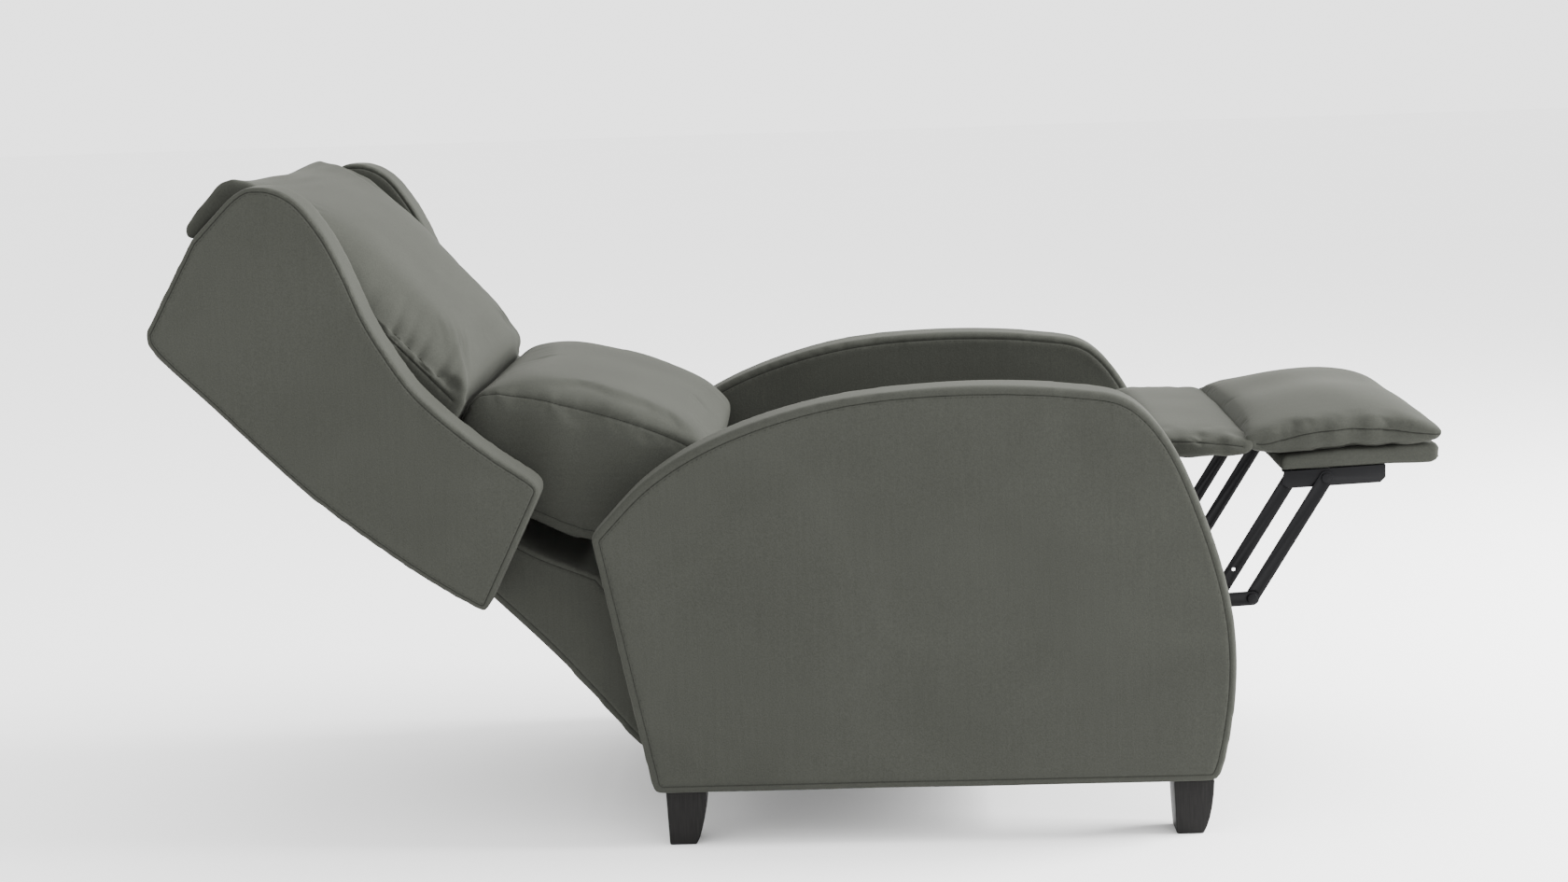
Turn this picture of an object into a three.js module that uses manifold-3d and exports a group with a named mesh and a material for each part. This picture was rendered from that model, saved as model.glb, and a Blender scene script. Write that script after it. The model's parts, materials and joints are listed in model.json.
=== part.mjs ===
// Winged recliner armchair, fully reclined with its footrest out.
// Frame: +X is the front of the chair, +Y the sitter's left, +Z up, millimetres.
// The origin is on the floor, under the middle of the chair's box.
import * as THREE from 'three';
import { mergeVertices } from 'three/addons/utils/BufferGeometryUtils.js';
import Module from 'manifold-3d';

const wasm = await Module();
wasm.setup();

// ---- driving dimensions -------------------------------------------------
const HALF_WIDTH = 370; // outer face of each arm and wing
const ARM_THICK = 80;
const WING_THICK = 70;
const COVER = 10; // foam and cloth over the timber
const GAP = 0.4; // clearance between pieces that touch
const PLY = 18; // birch plywood
const ARM_BOTTOM = 74; // underside of the arms above the floor
const LEG_TOP = 54;
const LEG_FOOT = 36;
const LEG_DEPTH = 62; // across the chair
const BAR = 19; // width of the steel flat bars
const BAR_THICK = 3.5;
const PIN_R = 4;
const WING_INNER = HALF_WIDTH - WING_THICK; // inner face of each wing
const BACK_HALF = WING_INNER - GAP; // back upholstery fills the space between the wings
const LOWER_HALF = 264; // lower back passes between the arms
const CUSHION_HALF = 292;
const SEAT_HALF = 284;
const PLATE_Y = 275; // middle of each steel side plate
const FOOT_HALF = 250; // footrest board
const PAD_HALF = 262; // footrest pad and knee cushion

// ---- pivots (x, z) ------------------------------------------------------
const BACK_PIVOT = [-200, 230];
const FOLD_PIVOT = [406.5, 289]; // carrier arm on the side plate
const FRONT_LOW = [597, 298]; // carrier to front link
const FRONT_TOP = [697.5, 459.5]; // front link to footrest bracket
const LINK_STEP = [-48, -2.2]; // from each front pivot to its rear one
const REAR_LOW = [FRONT_LOW[0] + LINK_STEP[0], FRONT_LOW[1] + LINK_STEP[1]];
const REAR_TOP = [FRONT_TOP[0] + LINK_STEP[0], FRONT_TOP[1] + LINK_STEP[1]];

// ---- finishes -----------------------------------------------------------
const finish = (color, roughness, metalness) =>
  new THREE.MeshStandardMaterial({ color, roughness, metalness });
const VELVET = finish('#5b5c55', 0.95, 0);
const STEEL = finish('#2b2b2e', 0.45, 0.9);
const SPRING = finish('#77787a', 0.4, 1);
const STAINED = finish('#2c2c2c', 0.5, 0);
const TIMBER = finish('#c9a878', 0.7, 0);
const LINING = finish('#1e1e1e', 0.95, 0);

const chair = new THREE.Group();

function add(name, geometry, material) {
  const mesh = new THREE.Mesh(geometry, material);
  mesh.name = name;
  chair.add(mesh);
}

// ---- geometry helpers ---------------------------------------------------
function outline(points, curved = false) {
  const [first, ...rest] = points.map(([x, z]) => new THREE.Vector2(x, z));
  const shape = new THREE.Shape();
  shape.moveTo(first.x, first.y);
  if (curved) shape.splineThru(rest);
  else rest.forEach((p) => shape.lineTo(p.x, p.y));
  return shape;
}

// Extrudes an outline of the (x, z) plane across the chair, from y0 to y1.
function across(shape, y0, y1, curveSegments = 2) {
  const options = { depth: y1 - y0, bevelEnabled: false, curveSegments };
  const geometry = new THREE.ExtrudeGeometry(shape, options);
  geometry.rotateX(Math.PI / 2);
  geometry.translate(0, y1, 0);
  return geometry;
}

function solid(geometry) {
  const bare = geometry.clone();
  bare.deleteAttribute('normal');
  bare.deleteAttribute('uv');
  const merged = mergeVertices(bare, 1e-4);
  const options = {
    numProp: 3,
    vertProperties: merged.attributes.position.array,
    triVerts: new Uint32Array(merged.index.array),
  };
  return new wasm.Manifold(new wasm.Mesh(options));
}

function geometryOf(manifold) {
  const mesh = manifold.getMesh();
  const geometry = new THREE.BufferGeometry();
  geometry.setAttribute('position', new THREE.BufferAttribute(mesh.vertProperties, 3));
  geometry.setIndex(new THREE.BufferAttribute(mesh.triVerts, 1));
  return geometry;
}

function cut(geometry, ...tools) {
  let result = solid(geometry);
  for (const tool of tools) result = result.subtract(solid(tool));
  return geometryOf(result);
}

function join(geometry, ...others) {
  let result = solid(geometry);
  for (const other of others) result = result.add(solid(other));
  return geometryOf(result);
}

function block(x0, x1, y0, y1, z0, z1) {
  const geometry = new THREE.BoxGeometry(x1 - x0, y1 - y0, z1 - z0);
  geometry.translate((x0 + x1) / 2, (y0 + y1) / 2, (z0 + z1) / 2);
  return geometry;
}

// A round bar across the chair at (x, z).
function rod([x, z], radius, y0, y1, sides = 16) {
  const geometry = new THREE.CylinderGeometry(radius, radius, y1 - y0, sides);
  geometry.translate(x, (y0 + y1) / 2, z);
  return geometry;
}

// A flat bar with round ends and a pin hole at each of two points, and any further [x, z, radius] holes.
function flatBar(a, b, y0, y1, further = []) {
  const angle = Math.atan2(b[1] - a[1], b[0] - a[0]);
  const shape = new THREE.Shape();
  const r = BAR / 2;
  shape.absarc(a[0], a[1], r, angle + Math.PI / 2, angle + Math.PI * 1.5, false);
  shape.absarc(b[0], b[1], r, angle - Math.PI / 2, angle + Math.PI / 2, false);
  for (const [x, z, radius] of [[...a, PIN_R + GAP], [...b, PIN_R + GAP], ...further]) {
    const hole = new THREE.Path();
    hole.absarc(x, z, radius, 0, Math.PI * 2, true);
    shape.holes.push(hole);
  }
  return across(shape, y0, y1, 8);
}

// Mirrors a y range for the sitter's left (+1) or right (-1) side.
const span = (side, near, far) => (side > 0 ? [near, far] : [-far, -near]);

// A pivot pin with a round head on each end of its shank, along y.
function rivet([x, z], side, inner, outer, headR = 7, head = 2.5) {
  const [y0, y1] = span(side, inner, outer);
  const shank = rod([x, z], PIN_R, y0 - head / 2, y1 + head / 2);
  const headA = rod([x, z], headR, y0 - GAP - head, y0 - GAP);
  const headB = rod([x, z], headR, y1 + GAP, y1 + GAP + head);
  return join(shank, headA, headB);
}

const SIDES = [['left', 1], ['right', -1]];

// ---- arms ---------------------------------------------------------------
const ARM_TOP_CURVE = [
  [-284, 424], [-207, 499], [-115, 552], [30, 596], [190, 611], [350, 604],
  [425, 588], [475, 538], [527, 420], [558, 300], [562, 200], [541, 85],
];
const ARM_REAR_FOOT = [-213, ARM_BOTTOM];

function armOutline() {
  const shape = outline(ARM_TOP_CURVE, true);
  shape.lineTo(532, ARM_BOTTOM);
  shape.lineTo(...ARM_REAR_FOOT);
  shape.lineTo(...ARM_TOP_CURVE[0]);
  return shape;
}

// The same outline, drawn in by the cover's thickness and open below.
function armCavity() {
  const middle = [180, 300];
  const points = ARM_TOP_CURVE.slice(0, -1).map(([x, z]) => {
    const dx = x - middle[0];
    const dz = z - middle[1];
    const shrink = 1 - (COVER * 1.5) / Math.hypot(dx, dz);
    return [middle[0] + dx * shrink, middle[1] + dz * shrink];
  });
  const shape = outline(points, true);
  shape.lineTo(518, ARM_BOTTOM - 20);
  shape.lineTo(-196, ARM_BOTTOM - 20);
  shape.lineTo(...points[0]);
  return shape;
}

function armCover(side) {
  const [y0, y1] = span(side, HALF_WIDTH - ARM_THICK, HALF_WIDTH);
  const [c0, c1] = span(side, HALF_WIDTH - ARM_THICK + COVER, HALF_WIDTH - COVER);
  return cut(across(armOutline(), y0, y1), across(armCavity(), c0, c1));
}

// Timber frame inside the arm: a plywood web with a sill and two posts glued to it.
function armFrame(side) {
  const inner = HALF_WIDTH - ARM_THICK + COVER + GAP;
  const outer = HALF_WIDTH - COVER - GAP;
  const [y0, y1] = span(side, inner, outer);
  const [w0, w1] = span(side, inner, inner + PLY);
  const web = across(outline([
    [-188, 84], [508, 84], [530, 190], [526, 290], [480, 420], [405, 545], [190, 585],
    [30, 570], [-105, 526], [-190, 470], [-252, 415],
  ]), w0, w1);
  const sill = block(-180, 500, y0, y1, 84, 124);
  const rearPost = across(outline([[-185, 84], [-145, 84], [-190, 420], [-235, 400]]), y0, y1);
  const frontPost = across(outline([[465, 84], [505, 84], [522, 290], [482, 290]]), y0, y1);
  return join(web, sill, rearPost, frontPost);
}

// Square tapering leg: straight behind, curved in front and on its inner side.
function leg(xRear, side) {
  const outer = HALF_WIDTH - 20;
  const profile = new THREE.Shape();
  profile.moveTo(xRear, ARM_BOTTOM - GAP);
  profile.lineTo(xRear + 3, 0);
  profile.lineTo(xRear + 3 + LEG_FOOT, 0);
  profile.quadraticCurveTo(xRear + LEG_TOP - 2, 22, xRear + LEG_TOP, ARM_BOTTOM - GAP);
  const plan = new THREE.Shape();
  plan.moveTo(outer, ARM_BOTTOM);
  plan.lineTo(outer, -1);
  plan.lineTo(outer - LEG_DEPTH + 16, -1);
  plan.quadraticCurveTo(outer - LEG_DEPTH, 20, outer - LEG_DEPTH, ARM_BOTTOM);
  const [y0, y1] = span(side, outer - LEG_DEPTH - 1, outer);
  const body = across(profile, y0, y1, 5);
  const trim = new THREE.ExtrudeGeometry(plan, { depth: 80, bevelEnabled: false, curveSegments: 5 });
  trim.rotateX(Math.PI / 2);
  trim.rotateZ(Math.PI / 2);
  if (side < 0) {
    trim.rotateZ(Math.PI);
    trim.translate(xRear - 10 + 80, 0, 0);
  }
  trim.translate(side > 0 ? xRear - 10 : 0, 0, 0);
  return geometryOf(solid(body).intersect(solid(trim)));
}

// ---- base: rails, seat and side plates ----------------------------------
const RAIL_HALF = HALF_WIDTH - ARM_THICK - GAP;
const SEAT_FRONT = 462;
const SEAT_BOTTOM = 362;

// Two bolts along the middle line of each side plate hold it off the arm.
const STANDOFF_X = [-90, 310];
const PLATE_SLOPE = (FOLD_PIVOT[1] - BACK_PIVOT[1]) / (FOLD_PIVOT[0] - BACK_PIVOT[0]);
const standoffZ = (x) => BACK_PIVOT[1] + (x - BACK_PIVOT[0]) * PLATE_SLOPE;

function sidePlate(side) {
  const [y0, y1] = span(side, PLATE_Y - 2, PLATE_Y + 2);
  const shape = new THREE.Shape();
  const [bx, bz] = BACK_PIVOT;
  const [fx, fz] = FOLD_PIVOT;
  shape.absarc(bx, bz, 22, Math.PI / 2, Math.PI * 1.5, false);
  shape.lineTo(fx, fz - 18);
  shape.absarc(fx, fz, 18, -Math.PI / 2, Math.PI / 2, false);
  for (const [x, z] of [BACK_PIVOT, FOLD_PIVOT]) {
    const hole = new THREE.Path();
    hole.absarc(x, z, PIN_R + GAP, 0, Math.PI * 2, true);
    shape.holes.push(hole);
  }
  for (const x of STANDOFF_X) {
    const hole = new THREE.Path();
    hole.absarc(x, standoffZ(x), 5 + GAP, 0, Math.PI * 2, true);
    shape.holes.push(hole);
  }
  return across(shape, y0, y1, 6);
}

// Bolt that holds a side plate off the arm: head, shank and spacer sleeve.
function standoff(x, side) {
  const at = [x, standoffZ(x)];
  const arm = HALF_WIDTH - ARM_THICK - GAP;
  const [h0, h1] = span(side, PLATE_Y - 2 - GAP - 4, PLATE_Y - 2 - GAP);
  const [s0, s1] = span(side, PLATE_Y - 5, PLATE_Y + 5);
  const [c0, c1] = span(side, PLATE_Y + 2 + GAP, arm);
  return join(rod(at, 9, h0, h1, 6), rod(at, 5, s0, s1), rod(at, 11, c0, c1));
}

function seatSpring(index) {
  const y = (index - 2) * 150;
  const points = [];
  const waves = 5;
  const x0 = 88;
  const x1 = 392;
  for (let i = 0; i <= waves * 8; i += 1) {
    const t = i / (waves * 8);
    const x = x0 + (x1 - x0) * t;
    const swing = Math.sin(t * waves * Math.PI * 2) * 22;
    points.push(new THREE.Vector3(x, y + swing, 348 + Math.sin(t * Math.PI) * 8));
  }
  const section = new THREE.Shape();
  section.absarc(0, 0, 1.9, 0, Math.PI * 2, false);
  const options = { steps: 56, extrudePath: new THREE.CatmullRomCurve3(points), curveSegments: 3 };
  return new THREE.ExtrudeGeometry(section, { ...options, bevelEnabled: false });
}

const SEAT_OUTLINE = [
  [16, 478], [50, 492], [200, 503], [340, 508], [430, 512], [456, 500], [SEAT_FRONT, 470],
  [SEAT_FRONT - 2, 420], [445, SEAT_BOTTOM], [60, SEAT_BOTTOM], [40, 390], [33, 440],
];

function buildBase() {
  for (const [name, side] of SIDES) {
    add(`${name}_arm_cover`, armCover(side), VELVET);
    add(`${name}_arm_frame`, armFrame(side), TIMBER);
    add(`${name}_rear_leg`, leg(-198, side), STAINED);
    add(`${name}_front_leg`, leg(479, side), STAINED);
    add(`${name}_side_plate`, sidePlate(side), STEEL);
    const [r0, r1] = span(side, 262, RAIL_HALF);
    add(`${name}_seat_rail`, block(80, 400, r0, r1, 318, 346), TIMBER);
    STANDOFF_X.forEach((x, i) => {
      add(`${name}_plate_bolt_${i + 1}`, standoff(x, side), STEEL);
    });
  }
  add('front_cross_rail', block(330, 352, -RAIL_HALF, RAIL_HALF, 84, 144), TIMBER);
  add('rear_cross_rail', block(-118, -96, -RAIL_HALF, RAIL_HALF, 84, 154), TIMBER);
  add('seat_front_rail', block(400 + GAP, 440, -RAIL_HALF, RAIL_HALF, 322, 360), TIMBER);
  add('seat_rear_rail', block(55, 80 - GAP, -RAIL_HALF, RAIL_HALF, 318, 360), TIMBER);
  for (let i = 1; i <= 3; i += 1) add(`seat_spring_${i}`, seatSpring(i), SPRING);
  add('seat_cushion', across(outline(SEAT_OUTLINE), -SEAT_HALF, SEAT_HALF), VELVET);
  add('dust_cover', block(-94, 328, -RAIL_HALF, RAIL_HALF, 80, 82), LINING);
}

// ---- back ---------------------------------------------------------------
const WING_REAR = [[-853, 702], [-768, 606], [-699, 535], [-644, 483], [-563, 418], [-483, 361], [-433, 331]];
const WING_FRONT = [
  [-345, 488], [-350, 498], [-402, 536], [-445, 570], [-500, 622], [-538, 678], [-562, 722],
  [-586, 782], [-613, 836], [-645, 877], [-672, 893], [-694, 897], [-717, 894], [-786, 830],
];

function wingOutline() {
  const shape = outline(WING_REAR, true);
  shape.lineTo(-424, 328);
  shape.lineTo(...WING_FRONT[0]);
  shape.splineThru(WING_FRONT.slice(1).map(([x, z]) => new THREE.Vector2(x, z)));
  shape.lineTo(...WING_REAR[0]);
  return shape;
}

const WING_BOARD = [
  [-830, 702], [-699, 562], [-563, 442], [-450, 366], [-372, 486], [-452, 550], [-515, 620],
  [-580, 740], [-630, 838], [-694, 874], [-768, 818],
];

function wingCover(side) {
  const middle = HALF_WIDTH - WING_THICK / 2;
  const [y0, y1] = span(side, WING_INNER, HALF_WIDTH);
  const [c0, c1] = span(side, middle - PLY / 2 - GAP, middle + PLY / 2 + GAP);
  const pocket = outline(WING_BOARD.map(([x, z]) => [x + (x + 600) * 0.01, z + (z - 620) * 0.01]));
  const mouth = across(outline([[-470, 330], [-360, 300], [-360, 420], [-440, 400]]), c0, c1);
  return cut(across(wingOutline(), y0, y1), across(pocket, c0, c1), mouth);
}

function wingBoard(side) {
  const middle = HALF_WIDTH - WING_THICK / 2;
  const [y0, y1] = span(side, middle - PLY / 2, middle + PLY / 2);
  return across(outline(WING_BOARD), y0, y1);
}

// Outer back upholstery, between the wings, from the head end to the lower back.
const BACK_PANEL = [
  [-850, 704], [-766, 608], [-697, 537], [-642, 485], [-561, 420], [-481, 363], [-437, 335],
  [-430, 347], [-473, 375], [-553, 431], [-633, 496], [-687, 547], [-756, 617], [-835, 708],
  [-775, 825], [-740, 858], [-747, 867], [-785, 832],
];

// Lower back: closed box of board and cloth that passes between the arms.
const LOWER_BACK = [
  [-425, 322], [-358, 254], [-301, 189], [-240, 118], [-224, 108], [-206, 114], [-150, 160],
  [-146, 174], [-200, 246], [-284, 354], [-384, 398],
];
const LOWER_CAVITY = [
  [-470, 385], [-410, 325], [-346, 261], [-289, 196], [-226, 124], [-160, 172], [-210, 238],
  [-292, 344], [-378, 382], [-430, 440],
];

function lowerBack() {
  const body = across(outline(LOWER_BACK), -LOWER_HALF, LOWER_HALF);
  const inner = LOWER_HALF - COVER;
  return cut(body, across(outline(LOWER_CAVITY), -inner, inner));
}

// Side stile of the back frame, from the lower back up to the head.
const STILE = [
  [-820, 712], [-700, 570], [-646, 518], [-565, 452], [-486, 398], [-402, 340], [-340, 274],
  [-284, 210], [-230, 150], [-190, 180], [-236, 240], [-300, 320], [-384, 372], [-462, 430],
  [-540, 490], [-615, 552], [-680, 618], [-782, 740],
];

// A rail across the back, its section turned to lie in the frame.
function backRail(x, z, wide, thick, degrees, half) {
  const geometry = new THREE.BoxGeometry(wide, half * 2, thick);
  geometry.rotateY(THREE.MathUtils.degToRad(degrees));
  geometry.translate(x, 0, z);
  return geometry;
}

const UPPER_CUSHION = [
  [-502, 502], [-436, 632], [-450, 672], [-486, 728], [-548, 788], [-640, 850], [-700, 880],
  [-722, 872], [-742, 830], [-762, 772], [-640, 622],
];
const HEAD_FLAP = [
  [-668, 882], [-700, 893], [-754, 898], [-787, 874], [-809, 842], [-806, 828], [-794, 830],
  [-776, 846], [-745, 872], [-718, 881], [-700, 884],
];
const LUMBAR_CUSHION = [
  [-440, 606], [-404, 620], [-350, 616], [-240, 584], [-160, 550], [-128, 526], [-121, 510],
  [-131, 474], [-176, 416], [-236, 396], [-330, 420], [-390, 436], [-452, 470], [-492, 500],
];

function hingeBracket(side) {
  const [y0, y1] = span(side, LOWER_HALF + GAP, LOWER_HALF + GAP + 4);
  const shape = new THREE.Shape();
  const [x, z] = BACK_PIVOT;
  shape.absarc(x, z, 16, -Math.PI * 0.75, Math.PI * 0.25, false);
  shape.lineTo(-233.5, 282.5);
  shape.lineTo(-254.5, 261.5);
  const hole = new THREE.Path();
  hole.absarc(x, z, PIN_R + GAP, 0, Math.PI * 2, true);
  shape.holes.push(hole);
  return across(shape, y0, y1, 6);
}

// The hinge pin is peened flush with the bracket and has its head outside the side plate.
function hingePin(side) {
  const [s0, s1] = span(side, LOWER_HALF + 2 * GAP, PLATE_Y + 4);
  const [h0, h1] = span(side, PLATE_Y + 2 + GAP, PLATE_Y + 5);
  return join(rod(BACK_PIVOT, PIN_R, s0, s1), rod(BACK_PIVOT, 9, h0, h1));
}

function buildBack() {
  const innerStile = LOWER_HALF - COVER - GAP;
  for (const [name, side] of SIDES) {
    add(`${name}_wing_cover`, wingCover(side), VELVET);
    add(`${name}_wing_board`, wingBoard(side), TIMBER);
    const [y0, y1] = span(side, innerStile - 24, innerStile);
    add(`${name}_back_stile`, across(outline(STILE), y0, y1), TIMBER);
    add(`${name}_hinge_bracket`, hingeBracket(side), STEEL);
    add(`${name}_hinge_pin`, hingePin(side), STEEL);
  }
  const railHalf = innerStile - 24 - GAP;
  add('back_top_rail', backRail(-790, 712, 60, 22, 49, railHalf), TIMBER);
  add('back_middle_rail', backRail(-510, 446, 60, 22, 38, railHalf), TIMBER);
  add('back_bottom_rail', backRail(-232, 186, 60, 22, 48, railHalf), TIMBER);
  add('back_outer_panel', across(outline(BACK_PANEL), -BACK_HALF, BACK_HALF), VELVET);
  add('lower_back', lowerBack(), VELVET);
  add('upper_back_cushion', across(outline(UPPER_CUSHION), -CUSHION_HALF, CUSHION_HALF), VELVET);
  add('head_flap', across(outline(HEAD_FLAP), -CUSHION_HALF, CUSHION_HALF), VELVET);
  add('lumbar_cushion', across(outline(LUMBAR_CUSHION), -270, 270), VELVET);
}

// ---- footrest -----------------------------------------------------------
// Layers of flat bar, from the outside in: carrier, front link, bracket, rear link.
const LAYER = BAR_THICK + GAP;
const CARRIER_Y = 254;
const LINK_Y = CARRIER_Y - LAYER;
const BRACKET_Y = LINK_Y - LAYER;
const REAR_LINK_Y = BRACKET_Y - LAYER;
const STUD_HEAD = 2.5;
const STUD_HEAD_R = 6.5;
const TIE_BAR = [455, 291]; // tube between the two carriers
const SPARE_HOLE = [574, 336, 2.6]; // spring hole punched in each rear link

// The carrier has a welded stud that the rear link turns on.
function carrier(side) {
  const [y0, y1] = span(side, CARRIER_Y, CARRIER_Y + BAR_THICK);
  const [s0, s1] = span(side, REAR_LINK_Y - 1, CARRIER_Y + BAR_THICK);
  const [h0, h1] = span(side, REAR_LINK_Y - GAP - STUD_HEAD, REAR_LINK_Y - GAP);
  const bar = flatBar(FOLD_PIVOT, FRONT_LOW, y0, y1);
  return join(bar, rod(REAR_LOW, PIN_R, s0, s1), rod(REAR_LOW, STUD_HEAD_R, h0, h1));
}

// The bracket under the footrest has two riveted studs: the front link turns on one outside it,
// and the rear link on the other inside it.
function footBracket(side) {
  const [y0, y1] = span(side, BRACKET_Y, BRACKET_Y + BAR_THICK);
  const [f0, f1] = span(side, BRACKET_Y - 22, BRACKET_Y + BAR_THICK);
  const web = across(outline([
    [642, 469], [638, 452], [648, 446], [770, 451], [777, 458], [777, 475],
  ]), y0, y1);
  const flange = across(outline([[642, 469], [642, 466], [777, 472], [777, 475]]), f0, f1);
  const clearance = [REAR_TOP, FRONT_TOP].map((at) => {
    const [c0, c1] = span(side, REAR_LINK_Y - 8, BRACKET_Y - GAP);
    return rod(at, 14, c0, c1);
  });
  const linkFace = LINK_Y + BAR_THICK + GAP;
  const [s0, s1] = span(side, BRACKET_Y + 1, linkFace + 1);
  const [h0, h1] = span(side, linkFace, linkFace + STUD_HEAD);
  const [t0, t1] = span(side, REAR_LINK_Y - GAP - 1, BRACKET_Y + 1);
  const [k0, k1] = span(side, REAR_LINK_Y - GAP - STUD_HEAD, REAR_LINK_Y - GAP);
  return join(
    web, cut(flange, ...clearance),
    rod(FRONT_TOP, PIN_R, s0, s1), rod(FRONT_TOP, STUD_HEAD_R, h0, h1),
    rod(REAR_TOP, PIN_R, t0, t1), rod(REAR_TOP, STUD_HEAD_R, k0, k1),
  );
}

function buildFootrest() {
  for (const [name, side] of SIDES) {
    add(`${name}_carrier_arm`, carrier(side), STEEL);
    add(`${name}_fold_pin`, rivet(FOLD_PIVOT, side, CARRIER_Y, PLATE_Y + 2), STEEL);
    const [b0, b1] = span(side, LINK_Y, LINK_Y + BAR_THICK);
    add(`${name}_front_link`, flatBar(FRONT_LOW, FRONT_TOP, b0, b1), STEEL);
    const [a0, a1] = span(side, REAR_LINK_Y, REAR_LINK_Y + BAR_THICK);
    add(`${name}_rear_link`, flatBar(REAR_LOW, REAR_TOP, a0, a1, [SPARE_HOLE]), STEEL);
    add(`${name}_foot_bracket`, footBracket(side), STEEL);
    const pinEnd = CARRIER_Y + BAR_THICK;
    add(`${name}_front_low_pin`, rivet(FRONT_LOW, side, LINK_Y, pinEnd), STEEL);
  }
  add('carrier_tie_tube', rod(TIE_BAR, 8, -CARRIER_Y + GAP, CARRIER_Y - GAP), STEEL);
  const board = [[641, 470], [637, 476], [642, 489], [700, 495.5], [840, 501], [845, 490], [840, 478.5]];
  add('footrest_board', across(outline(board), -FOOT_HALF, FOOT_HALF), VELVET);
  const pad = [
    [596, 516], [630, 496.5], [700, 500.5], [838, 506], [853, 512], [846, 524], [812, 545],
    [762, 556], [700, 554], [640, 542], [606, 530],
  ];
  add('footrest_pad', across(outline(pad), -PAD_HALF, PAD_HALF), VELVET);
  const knee = [[470, 496], [583, 494], [591, 504], [586, 518], [560, 526], [480, 529], [468, 515]];
  add('knee_cushion', across(outline(knee), -PAD_HALF, PAD_HALF), VELVET);
}

buildBase();
buildBack();
buildFootrest();

export default chair;
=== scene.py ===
"""Winged recliner armchair, reclined with its footrest out. Metres, +X front, +Y sitter's left, +Z up."""
import json
import math

import bmesh
import bpy
import numpy as np
from mathutils import Matrix, Vector
from mathutils.bvhtree import BVHTree
from mathutils.kdtree import KDTree

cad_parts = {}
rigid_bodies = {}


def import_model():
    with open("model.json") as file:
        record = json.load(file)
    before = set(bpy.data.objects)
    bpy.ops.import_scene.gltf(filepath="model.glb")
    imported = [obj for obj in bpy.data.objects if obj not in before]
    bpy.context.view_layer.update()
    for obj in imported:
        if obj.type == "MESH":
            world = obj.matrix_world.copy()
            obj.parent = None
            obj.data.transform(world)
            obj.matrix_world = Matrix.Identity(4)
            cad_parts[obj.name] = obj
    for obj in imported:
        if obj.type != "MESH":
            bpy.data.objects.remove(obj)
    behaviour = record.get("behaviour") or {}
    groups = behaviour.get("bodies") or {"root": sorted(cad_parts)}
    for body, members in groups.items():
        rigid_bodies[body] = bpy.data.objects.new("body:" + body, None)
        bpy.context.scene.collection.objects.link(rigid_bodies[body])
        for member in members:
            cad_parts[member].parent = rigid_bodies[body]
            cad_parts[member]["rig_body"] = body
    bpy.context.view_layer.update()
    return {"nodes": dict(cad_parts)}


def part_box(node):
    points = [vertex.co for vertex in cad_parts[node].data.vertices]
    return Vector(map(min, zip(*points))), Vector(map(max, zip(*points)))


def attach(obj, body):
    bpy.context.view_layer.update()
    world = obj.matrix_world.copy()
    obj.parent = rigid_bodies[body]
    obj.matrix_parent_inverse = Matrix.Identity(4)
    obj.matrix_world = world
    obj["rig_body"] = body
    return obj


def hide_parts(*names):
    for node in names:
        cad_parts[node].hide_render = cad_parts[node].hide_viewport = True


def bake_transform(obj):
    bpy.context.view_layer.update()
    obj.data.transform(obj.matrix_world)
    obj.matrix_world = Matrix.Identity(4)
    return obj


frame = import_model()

MM = 0.001
scene = bpy.context.scene


# ---- legs ------------------------------------------------------------------
# Four beech legs, square and tapering, curved on their front and inner sides.
# Turned out on a bandsaw, sanded with rounded edges and stained black under a
# thin satin lacquer, then screwed up into the sills of the arms.

LEGS = ["left_front_leg", "left_rear_leg", "right_front_leg", "right_rear_leg"]
LEG_EDGE = 2.2 * MM


def linear(code):
    """An sRGB hex colour as linear RGBA."""
    parts = [int(code[i:i + 2], 16) / 255 for i in (1, 3, 5)]
    return [c / 12.92 if c <= 0.04045 else ((c + 0.055) / 1.055) ** 2.4 for c in parts] + [1.0]


def add(tree, kind, sockets=None, **settings):
    """Adds a node. Each of its sockets is given a value, or the output of another node."""
    made = tree.nodes.new(kind)
    for name, value in settings.items():
        setattr(made, name, value)
    for socket, value in (sockets or {}).items():
        if isinstance(value, bpy.types.NodeSocket):
            tree.links.new(value, made.inputs[socket])
        else:
            made.inputs[socket].default_value = value
    return made


def new_finish(name, surface):
    """A material with its tree and shader, the shader's own sockets set."""
    material = bpy.data.materials.new(name)
    material.use_nodes = True
    shader = material.node_tree.nodes["Principled BSDF"]
    for socket, value in surface.items():
        shader.inputs[socket].default_value = value
    return material, material.node_tree, shader


def grain_coordinates(tree, fine, long, turn=(0, 0, 0)):
    """Object coordinates scaled so that one unit is fine across the grain and long along it."""
    place = add(tree, "ShaderNodeTexCoord").outputs["Object"]
    turned = add(tree, "ShaderNodeMapping", {"Vector": place, "Rotation": turn}).outputs[0]
    scale = (1 / fine, 1 / fine, 1 / long)
    return add(tree, "ShaderNodeMapping", {"Vector": turned, "Scale": scale}).outputs[0]


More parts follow.
